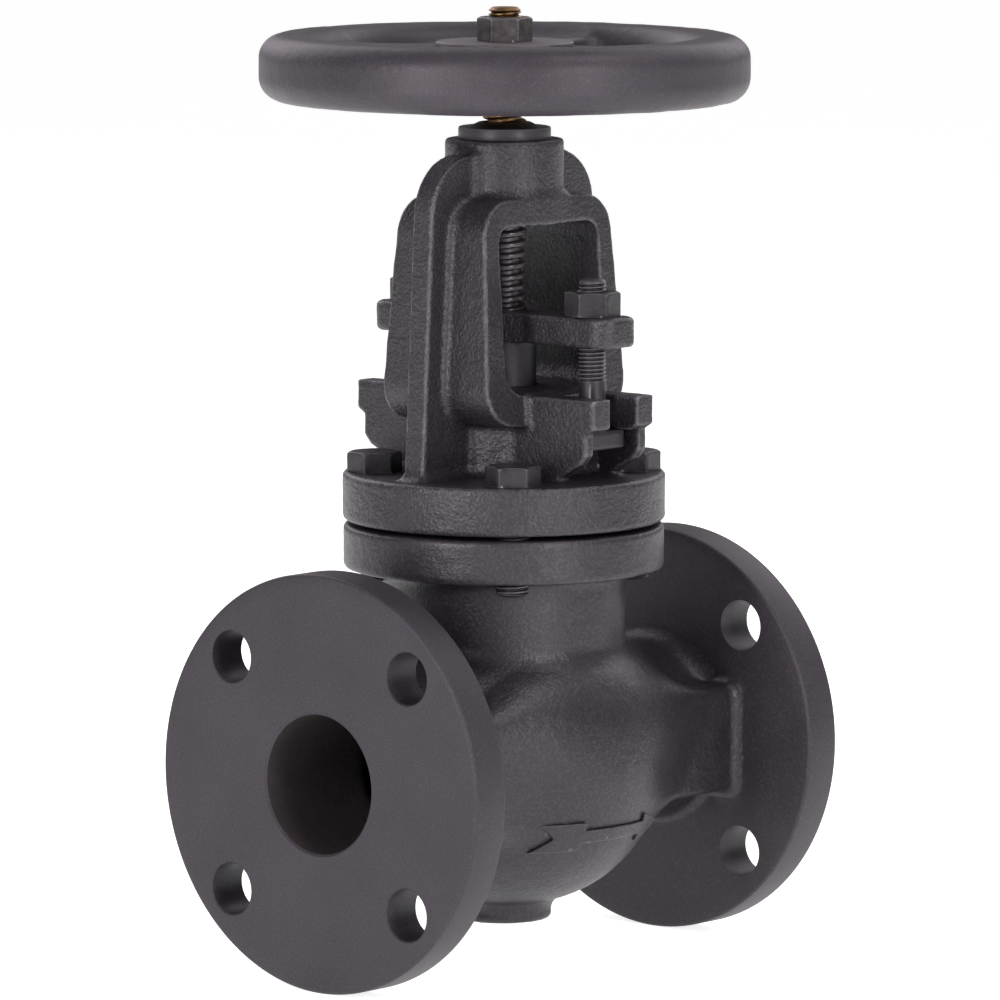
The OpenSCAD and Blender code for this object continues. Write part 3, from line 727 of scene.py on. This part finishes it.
def make_bonnet():
    at = Lattice((-62, -62, SPIGOT_Z - 3), (62, 62, HUB_TOP + 3), 0.75)
    flat_x, flat_y = np.abs(at.x), np.abs(at.y)
    flange = plate(at.r, at.z, BONNET_R, BONNET_Z, BONNET_TOP, 1.8)
    flange = np.minimum(flange, plate(at.r, at.z, SPIGOT_R, SPIGOT_Z, BONNET_Z + 2, 0.5))
    band = outline_distance(mirrored(
        [(0, BAND_TOP)] + arc(BAND_TOP_W - BAND_CORNER, BAND_TOP - BAND_CORNER, BAND_CORNER, 90, 0)
        + arc(BAND_LOW_W - BAND_CORNER, BAND_LOW_Z, BAND_CORNER, 0, -90) + [(0, BAND_BOTTOM)]), at.x, at.z)
    slope = (BAND_Y_LOW - BAND_Y_TOP) / (BAND_TOP - BAND_BOTTOM)
    depth = flat_y - (BAND_Y_LOW - (at.z - BAND_BOTTOM) * slope)
    band = both(band, depth, YOKE_EDGE)
    rib = outline_distance(mirrored(
        [(0, RIB_ARC_Z + RIB_ARC_R)] + arc(RIB_ARC_X, RIB_ARC_Z, RIB_ARC_R, 90, 4)
        + [(RIB_FOOT, BONNET_TOP), (RIB_FOOT, BONNET_Z + 5), (0, BONNET_Z + 5)]), at.x, at.z)
    rib = both(rib, flat_y - RIB_T / 2, YOKE_EDGE)
    yoke = join(band, rib, YOKE_FILLET)
    window = outline_distance(mirrored(
        [(0, WINDOW_TOP)] + arc(WINDOW_W - WINDOW_CORNER, WINDOW_TOP - WINDOW_CORNER, WINDOW_CORNER, 90, 0)
        + arc(WINDOW_W - WINDOW_LOW_CORNER, BOX_TOP + WINDOW_LOW_CORNER, WINDOW_LOW_CORNER, 0, -90)
        + [(0, BOX_TOP)]), at.x, at.z)
    hub = plate(at.r, at.z, HUB_R, WINDOW_TOP - 4, HUB_TOP, 1.2)
    yoke = join(yoke, hub, 4)
    yoke = cut(yoke, window, 0.8)
    lug = outline_distance(LUG_OUTLINE, flat_y, at.z)
    lug = both(lug, flat_x - LUG_W, 1.4)
    box = plate(at.r, at.z, BOX_R, BONNET_Z + 5, BOX_TOP, 1.4)
    box = join(box, lug, YOKE_FILLET)
    slot = np.maximum(flat_x - SLOT_W, SLOT_Y - flat_y)
    box = cut(box, np.maximum(slot, BONNET_TOP - at.z), 1.0)
    pocket = np.maximum(np.maximum(flat_x - POCKET_W, POCKET_Y - flat_y),
                        np.abs(at.z - POCKET_MID) - POCKET_TOP + POCKET_MID)
    box = cut(box, np.maximum(pocket, BONNET_TOP - at.z), 1.0)
    casting = join(join(yoke, box, YOKE_FILLET), flange, 4)
    bonnet = at.mesh("bonnet_casting", casting)
    roughen(bonnet, ((12, 0.15), (3.2, 0.07), (1.9, 0.07)), keep=lambda p: np.where(
        p[:, 2] < BONNET_Z + 1, 0.0, np.where(p[:, 2] > HUB_TOP - 0.8, 0.15, 1.0)))
    tools = [turned("bowl", [(SPIGOT_Z - 5, BOWL_R), (BOWL_Z, BOWL_R), (BACKSEAT_Z, BACKSEAT_R),
                             (BACKSEAT_TOP, BACKSEAT_R), (BACKSEAT_TOP, THROAT_R), (THROAT_TOP, THROAT_R),
                             (THROAT_TOP, PACKING_R), (BOX_TOP + 5, PACKING_R)]),
             turned("hub_bore", [(WINDOW_TOP - 6, HUB_BORE_R), (HUB_TOP + 5, HUB_BORE_R)])]
    tools += [drill("hole", BONNET_HOLE_R, BONNET_Z - 5, BONNET_TOP + 12, x, y)
              for x, y in bolt_circle(BOLT_RING)]
    boolean(bonnet, [merged(tools)], "DIFFERENCE")
    finish_piece(bonnet, "housing", ["bonnet_yoke"], [SANDY, MACHINED],
                 lambda p, n: (p[:, 2] < BONNET_Z + 0.4) | ((p[:, 2] > HUB_TOP - 0.5) & (n[:, 2] > 0.8)))


# ---------------------------------------------------------------- gland and fasteners

GLAND_Z, GLAND_T = 154.0, 11.0
GLAND_BOLT_Y = 42.6
GLAND_LEN, GLAND_W, GLAND_CORNER, GLAND_MID_R = 57.3, 10.5, 7.0, 18.0
GLAND_NOSE_Z, GLAND_NOSE_R = 134.8, 11.8
GLAND_BORE_R, GLAND_HOLE_R = 8.25, 6.0
GLAND_BOLT_R, GLAND_BOLT_TOP, GLAND_THREAD_Z = 5.0, 178.5, 141.0
T_HEAD_W, T_HEAD_D, T_HEAD_H = 10.3, 7.2, 3.4     # half sizes
NUT_AF, NUT_H = 18.0, 9.0
HEX_TURN = 11.13                      # turn of the nuts, in degrees
BOLT_TURNS = (17, 8, 0, 0)            # further turn of each bonnet bolt
HEAD_H = 7.4
BOLT_END = 64.7
FINE_PITCH, FINE_DEPTH = 1.5, 0.85
COARSE_PITCH, COARSE_DEPTH = 1.75, 0.95


def hex_field(at, across, height, turn, double):
    """Hexagon prism, chamfered at its top and, if it is double, at its bottom too."""
    field = np.float32(-9)
    for i in range(3):
        a = math.radians(turn + 60 * i + 30)
        field = both(field, np.abs(at.x * math.cos(a) + at.y * math.sin(a)) - across / 2, 0.5)
    corner = across / math.sqrt(3)
    bevel = corner - across / 2
    top = ((at.r - corner) * 0.5 + at.z - height + bevel * 0.5) / math.hypot(0.5, 1)
    field = both(field, top, 0.3)
    field = both(field, at.z - height, 0.25)
    if double:
        low = ((at.r - corner) * 0.5 - at.z + bevel * 0.25) / math.hypot(0.5, 1)
        field = both(field, low, 0.3)
    return both(field, -at.z, 0.2)


def hex_solid(name, across, height, turn, hole=None, base=0, double=False):
    """Bolt head or nut standing at the height base, with a hole of this radius if it has one."""
    bevel = 0.6
    at = Lattice((-12, -12, -2), (12, 12, height + 2), 0.42)
    solid = at.mesh(name, hex_field(at, across, height, turn, double))
    roughen(solid, ((2.4, 0.05), (1.2, 0.04)))
    if hole:
        rings = [(-3, hole + bevel), (0, hole + bevel), (bevel, hole), (height - bevel, hole),
                 (height, hole + bevel), (height + 3, hole + bevel)]
        boolean(solid, [turned("hole", rings, 48)], "DIFFERENCE")
    return place(solid, Matrix.Translation((0, 0, base)))


def threaded(z0, z1, crest, depth, pitch, sides=48, steps=8, fade=1.0, flat=0.2):
    """Rings of a right-hand screw thread from z0 up to z1, fading out over `fade` turns at both ends."""
    angle = np.arange(sides) / sides
    rings = []
    for z in np.arange(z0, z1 + 1e-6, pitch / steps):
        phase = (z / pitch - angle) % 1.0
        valley = np.clip((np.abs(phase - 0.5) * 2 - flat) / (1 - 2 * flat), 0, 1)
        ends = min(1.0, (z - z0) / (fade * pitch), (z1 - z) / (fade * pitch))
        rings.append((z, crest - depth * valley * max(ends, 0.0)))
    return rings


def make_gland():
    at = Lattice((-22, -61, GLAND_NOSE_Z - 3), (22, 61, GLAND_Z + GLAND_T + 3), 0.8)
    arms = both(np.abs(at.x) - GLAND_W, np.abs(at.y) - GLAND_LEN, GLAND_CORNER)
    plan = join(at.r - GLAND_MID_R, arms, 5)
    flange = both(plan, np.abs(at.z - GLAND_Z - GLAND_T / 2) - GLAND_T / 2, 1.8)
    nose = plate(at.r, at.z, GLAND_NOSE_R, GLAND_NOSE_Z, GLAND_Z + 2, 0.5)
    gland = at.mesh("gland_flange", join(flange, nose, 1.2))
    roughen(gland, ((9, 0.2), (3.0, 0.07), (1.9, 0.07)), keep=lambda p: np.where(
        p[:, 2] < GLAND_Z - 1, 0.1, 1.0))
    top = GLAND_Z + GLAND_T + 5
    tools = [turned("bore", [(GLAND_NOSE_Z - 5, GLAND_BORE_R), (top, GLAND_BORE_R)], 64)]
    tools += [drill("hole", GLAND_HOLE_R, GLAND_Z - 5, top, 0, side * GLAND_BOLT_Y) for side in (-1, 1)]
    boolean(gland, [merged(tools)], "DIFFERENCE")
    finish_piece(gland, "housing", ["packing_gland"], [SANDY, MACHINED],
                 lambda p, n: p[:, 2] < GLAND_Z - 0.8)


def make_gland_fasteners():
    for side, name in ((-1, "front"), (1, "back")):
        rings = [(POCKET_TOP - 3, GLAND_BOLT_R), (GLAND_THREAD_Z - 2, GLAND_BOLT_R)]
        rings += threaded(GLAND_THREAD_Z, GLAND_BOLT_TOP - 1, GLAND_BOLT_R, FINE_DEPTH, FINE_PITCH)
        rings += [(GLAND_BOLT_TOP - 0.5, GLAND_BOLT_R - 0.5), (GLAND_BOLT_TOP, GLAND_BOLT_R - 1.2)]
        bolt = turned("gland_stud_" + name, rings, 48)
        at = Lattice((-13, -10, POCKET_TOP - 10), (13, 10, POCKET_TOP + 3), 0.6)
        head = both(np.abs(at.x) - T_HEAD_W, np.abs(at.y) - T_HEAD_D, 1.5)
        head = both(head, np.abs(at.z - POCKET_TOP + T_HEAD_H) - T_HEAD_H, 1.2)
        boolean(bolt, [at.mesh("head", head)], "UNION")
        place(bolt, Matrix.Translation((0, side * GLAND_BOLT_Y, 0)))
        finish_piece(bolt, "housing", ["gland_bolt_" + name], [FASTENER], angle=60)
        nut = hex_solid("gland_hex_" + name, NUT_AF, NUT_H, HEX_TURN,
                        hole=GLAND_BOLT_R + 0.05, base=GLAND_Z + GLAND_T, double=True)
        place(nut, Matrix.Translation((0, side * GLAND_BOLT_Y, 0)))
        finish_piece(nut, "housing", ["gland_nut_" + name], [FASTENER])


def make_bonnet_bolts():
    for i, (x, y) in enumerate(bolt_circle(BOLT_RING)):
        turn = HEX_TURN + BOLT_TURNS[i]
        head = hex_solid("bonnet_screw_%d" % (i + 1), NUT_AF, HEAD_H, turn, base=BONNET_TOP)
        rings = [(BOLT_END, BOLT_R - 2.0), (BOLT_END + 0.35, BOLT_R - 1.2), (BOLT_END + 0.9, BOLT_R - 0.6)]
        rings += threaded(BOLT_END + 1, BOLT_END + 24, BOLT_R, COARSE_DEPTH, COARSE_PITCH, fade=0.4)
        rings += [(BONNET_TOP + 3, BOLT_R)]
        boolean(head, [turned("shank", rings, 48)], "UNION")
        place(head, Matrix.Translation((x, y, 0)))
        finish_piece(head, "housing", ["bonnet_bolt_%d" % (i + 1)], [FASTENER], angle=50)


# ---------------------------------------------------------------- yoke bushing, stem

STEM_R = 8.0
THREAD_PITCH, THREAD_DEPTH = 4.0, 1.9
THREAD_Z0, THREAD_Z1 = 150.0, 238.0
SQUARE_AF, SQUARE_TOP = 11.0, 261.2
STUD_R, STEM_TOP = 5.95, 275.5
BUTTON_R, BUTTON_LOW, BUTTON_TOP = 11.5, 20.25, 26.25      # the stem's button, held in the disc
COLLAR_R, COLLAR_LOW, COLLAR_TOP = 11.0, 82.0, 90.0        # the collar, which meets the back seat
BUSHING_Z, BUSHING_FLANGE_R, BUSHING_TOP = 198.7, 17.0, HUB_TOP + 6.0
LOCK_SCREW_R, LOCK_SCREW_ANGLE = 2.5, math.radians(35)


def make_bushing():
    bore = STEM_R + 0.05
    rim = BUSHING_FLANGE_R
    rings = [(BUSHING_Z, bore), (BUSHING_Z, HUB_BORE_R), (HUB_TOP, HUB_BORE_R), (HUB_TOP, rim - 0.6),
             (HUB_TOP + 0.2, rim - 0.1), (HUB_TOP + 0.8, rim), (HUB_TOP + 3.6, rim),
             (HUB_TOP + 4.2, rim - 0.2), (HUB_TOP + 4.4, rim - 0.8), (HUB_TOP + 4.4, 12.8),
             (BUSHING_TOP, 9.6), (BUSHING_TOP, bore)]
    bushing = turned("yoke_sleeve", rings, 96, hollow=True)
    screw_x, screw_y = HUB_BORE_R * math.cos(LOCK_SCREW_ANGLE), HUB_BORE_R * math.sin(LOCK_SCREW_ANGLE)
    screw_hole = drill("hole", LOCK_SCREW_R, HUB_TOP - 9, HUB_TOP + 9, screw_x, screw_y, 24)
    boolean(bushing, [screw_hole], "DIFFERENCE")
    finish_piece(bushing, "housing", ["yoke_bushing"], [FASTENER, STEM_BRASS],
                 lambda p, n: np.hypot(p[:, 0], p[:, 1]) < bore + 1.2)


def square_ring(across, corner, sides):
    """Radius all round of a square bar with turned corners."""
    angle = np.arange(sides) * 2 * math.pi / sides
    flat = across / 2 / np.maximum(np.abs(np.cos(angle)), np.abs(np.sin(angle)))
    return np.minimum(flat, corner)


def make_stem():
    sides, bevel = 72, 0.6
    square = square_ring(SQUARE_AF, SQUARE_AF / math.sqrt(2) - 0.3, sides)
    rings = [(BUTTON_LOW, BUTTON_R - bevel), (BUTTON_LOW + bevel, BUTTON_R), (BUTTON_TOP - bevel, BUTTON_R),
             (BUTTON_TOP, BUTTON_R - bevel), (BUTTON_TOP, STEM_R), (COLLAR_LOW, STEM_R),
             (COLLAR_LOW, COLLAR_R - bevel), (COLLAR_LOW + bevel, COLLAR_R), (COLLAR_TOP - 3, COLLAR_R),
             (COLLAR_TOP, STEM_R), (THREAD_Z0 - 0.5, STEM_R)]
    rings += threaded(THREAD_Z0, THREAD_Z1, STEM_R, THREAD_DEPTH, THREAD_PITCH, sides, 16, 0.6, 0.3)
    rings += [(THREAD_Z1 + 0.2, STEM_R - 0.3), (THREAD_Z1 + 0.2, square), (SQUARE_TOP, square),
              (SQUARE_TOP, STUD_R)]
    rings += threaded(SQUARE_TOP + 1, STEM_TOP - 1, STUD_R, COARSE_DEPTH, COARSE_PITCH, sides, 8, 0.4)
    rings += [(STEM_TOP - 0.8, STUD_R - 0.5), (STEM_TOP - 0.25, STUD_R - 0.9), (STEM_TOP, STUD_R - 1.6)]
    stem = turned("stem_screw", rings, sides)
    finish_piece(stem, "spindle", ["stem"], [STEM_DARK, STEM_BRASS],
                 lambda p, n: p[:, 2] > HUB_TOP - 2, angle=40)


# ---------------------------------------------------------------- handwheel

WHEEL_LOW, WHEEL_HIGH = corners("handwheel")
WHEEL_R = (WHEEL_HIGH[1] - WHEEL_LOW[1]) / 2
RIM_SIZE, RIM_CORNER = 24.2, 8.5
RIM_Z = WHEEL_HIGH[2] - RIM_SIZE / 2
WHEEL_HUB_R, WHEEL_FOOT_R = 20.0, 15.0
WHEEL_HUB_Z, WHEEL_HUB_TOP = WHEEL_LOW[2], 261.2
SPOKE_ANGLE, SPOKES = 26, 4
SPOKE_W, SPOKE_END_W, SPOKE_WAIST_R = 10.0, 17.0, 24.0
SPOKE_Z, SPOKE_T = 252.5, 8.5
PLATE_R, PLATE_T = 25.2, 1.8


def spoke_field(at, turn):
    """One spoke, waisted between the hub and the rim."""
    c, s = math.cos(math.radians(turn)), math.sin(math.radians(turn))
    along, across = at.x * c + at.y * s, np.abs(at.y * c - at.x * s)
    rim_r = WHEEL_R - RIM_SIZE / 2
    waist_at = (WHEEL_HUB_R + rim_r - RIM_SIZE / 2) / 2 + 2
    scallop = SPOKE_WAIST_R - np.hypot(along - waist_at, across - SPOKE_W - SPOKE_WAIST_R)
    plan = np.maximum(np.maximum(across - SPOKE_END_W, scallop), np.maximum(along - rim_r, -along))
    return both(plan, np.abs(at.z - SPOKE_Z - SPOKE_T / 2) - SPOKE_T / 2, 2.2)


def make_handwheel():
    step = 0.9
    reach = WHEEL_R + 3
    inset = 0.12                                  # room for the roughening inside the wheel's size
    at = Lattice((-reach, -reach, WHEEL_HUB_Z - 3), (reach, reach, WHEEL_HIGH[2] + 3), step)
    rim_r = WHEEL_R - RIM_SIZE / 2
    half_rim = RIM_SIZE / 2 - inset
    rim = both(np.abs(at.r - rim_r) - half_rim, np.abs(at.z - RIM_Z) - half_rim, RIM_CORNER)
    hub = plate(at.r, at.z, WHEEL_HUB_R, SPOKE_Z - 2, WHEEL_HUB_TOP, 1.0)
    hub = join(hub, plate(at.r, at.z, WHEEL_FOOT_R, WHEEL_HUB_Z, SPOKE_Z, 1.0), 2)
    spokes = np.float32(99)
    for i in range(SPOKES):
        spokes = np.minimum(spokes, spoke_field(at, SPOKE_ANGLE + i * 360 / SPOKES))
    field = join(join(hub, spokes, 2.5), rim, 4)
    wheel = at.mesh("wheel_casting", field)
    roughen(wheel, ((11, 0.12), (4, 0.06)))
    socket = square_ring(SQUARE_AF + 0.1, math.inf, 96)
    tools = [turned("bore", [(WHEEL_HUB_Z - 5, STEM_R + 0.5), (THREAD_Z1 + 0.2, STEM_R + 0.5)], 64),
             turned("socket", [(THREAD_Z1 - 1, socket), (WHEEL_HIGH[2] + 5, socket)], 96)]
    boolean(wheel, tools, "DIFFERENCE")
    finish_piece(wheel, "spindle", ["handwheel"], [ENAMEL], angle=50)


def make_wheel_top():
    z = WHEEL_HUB_TOP
    inner = STUD_R + 0.2
    rings = [(z, inner), (z, PLATE_R - 0.4), (z + 0.4, PLATE_R), (z + PLATE_T - 0.4, PLATE_R),
             (z + PLATE_T, PLATE_R - 0.4), (z + PLATE_T, inner)]
    index_plate = turned("index_disc", rings, 128, hollow=True)
    finish_piece(index_plate, "spindle", ["index_plate"], [PLATE])
    nut = hex_solid("wheel_hex", NUT_AF, NUT_H, HEX_TURN, hole=STUD_R + 0.05, base=z + PLATE_T, double=True)
    finish_piece(nut, "spindle", ["handwheel_nut"], [STEEL])


def finish_cad_nodes():
    """Procedural finishes for the inner pieces, which keep their CAD shapes."""
    finishes = {"seat_ring": TRIM_BRASS, "valve_disc": TRIM_BRASS, "disc_nut": TRIM_BRASS,
                "backseat_bushing": TRIM_BRASS, "bonnet_gasket": GASKET, "bushing_lock_screw": FASTENER}
    finishes.update({name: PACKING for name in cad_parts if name.startswith("packing_ring")})
    for name, material in finishes.items():
        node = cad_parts[name]
        for slot in node.material_slots:
            slot.material = material


# ---------------------------------------------------------------- studio

# The camera's place in row-frame millimetres, the direction from the valve back to it, its roll and its lens
CAMERA_PLACE = (-2040.27, -1868.78, 441.87)
CAMERA_BACK = (-0.74761, -0.65294, 0.12145)
CAMERA_ROLL = 0.117
CAMERA_LENS = 280.16

LIGHT_DISTANCE = 1.7
# name, degrees round from the camera, degrees up, width and height in metres, power in watts
LIGHTS = (("left_box", -37, 16, 0.36, 1.0, 19), ("right_box", 37, 16, 0.36, 1.0, 14),
          ("back_left", -142, 34, 1.3, 1.3, 12), ("back_right", 142, 34, 1.3, 1.3, 9),
          ("top_right", 64, 62, 0.7, 0.7, 8))
LIGHT_COLOUR = (1.0, 0.93, 1.0)
AMBIENT = 0.22
FLOOR_SIZE = 12.0                     # half its width, in metres


def make_camera():
    data = bpy.data.cameras.new("camera")
    data.lens, data.sensor_width = CAMERA_LENS, 36.0
    data.clip_start, data.clip_end = 0.1, 50.0
    camera = bpy.data.objects.new("camera", data)
    bpy.context.scene.collection.objects.link(camera)
    back = Vector(CAMERA_BACK).normalized()
    right = Vector((0, 0, 1)).cross(back).normalized()
    right = Matrix.Rotation(math.radians(CAMERA_ROLL), 3, back) @ right
    up = back.cross(right)
    turn = Matrix((right, up, back)).transposed().to_4x4()
    camera.matrix_world = Matrix.Translation(Vector(CAMERA_PLACE) * MM) @ turn
    bpy.context.scene.camera = camera


def make_light(name, place, aim, width, height, power):
    """Rectangular area light at a place, turned towards its aim."""
    data = bpy.data.lights.new(name, "AREA")
    data.shape, data.size, data.size_y, data.energy = "RECTANGLE", width, height, power
    data.color = LIGHT_COLOUR
    light = bpy.data.objects.new(name, data)
    bpy.context.scene.collection.objects.link(light)
    light.location = place
    light.rotation_euler = (aim - place).to_track_quat("-Z", "Y").to_euler()


def make_studio():
    floor_z = BODY_LOW[2] * MM
    corner_signs = ((-1, -1), (1, -1), (1, 1), (-1, 1))
    mesh = bpy.data.meshes.new("studio_floor")
    mesh.from_pydata([(x * FLOOR_SIZE, y * FLOOR_SIZE, floor_z) for x, y in corner_signs], [], [(0, 1, 2, 3)])
    mesh.materials.append(studio_floor())
    floor = bpy.data.objects.new("studio_floor", mesh)
    bpy.context.scene.collection.objects.link(floor)
    world = bpy.data.worlds.new("studio")
    bpy.context.scene.world = world
    world.use_nodes = True
    background = world.node_tree.nodes["Background"]
    background.inputs["Color"].default_value = (1.0, 1.0, 1.0, 1)
    background.inputs["Strength"].default_value = AMBIENT
    middle = Vector((STEM_X * MM, 0, 0.1))
    towards_camera = math.atan2(CAMERA_BACK[1], CAMERA_BACK[0])
    for name, swing, rise, width, height, power in LIGHTS:
        a, b = towards_camera + math.radians(swing), math.radians(rise)
        way = Vector((math.cos(a) * math.cos(b), math.sin(a) * math.cos(b), math.sin(b)))
        make_light(name, middle + way * LIGHT_DISTANCE, middle, width, height, power)
    bpy.context.scene.view_settings.view_transform = "Standard"


make_camera()
make_studio()
make_body()
make_bonnet()
make_gland()
make_gland_fasteners()
make_bonnet_bolts()
make_bushing()
make_stem()
make_handwheel()
make_wheel_top()
finish_cad_nodes()
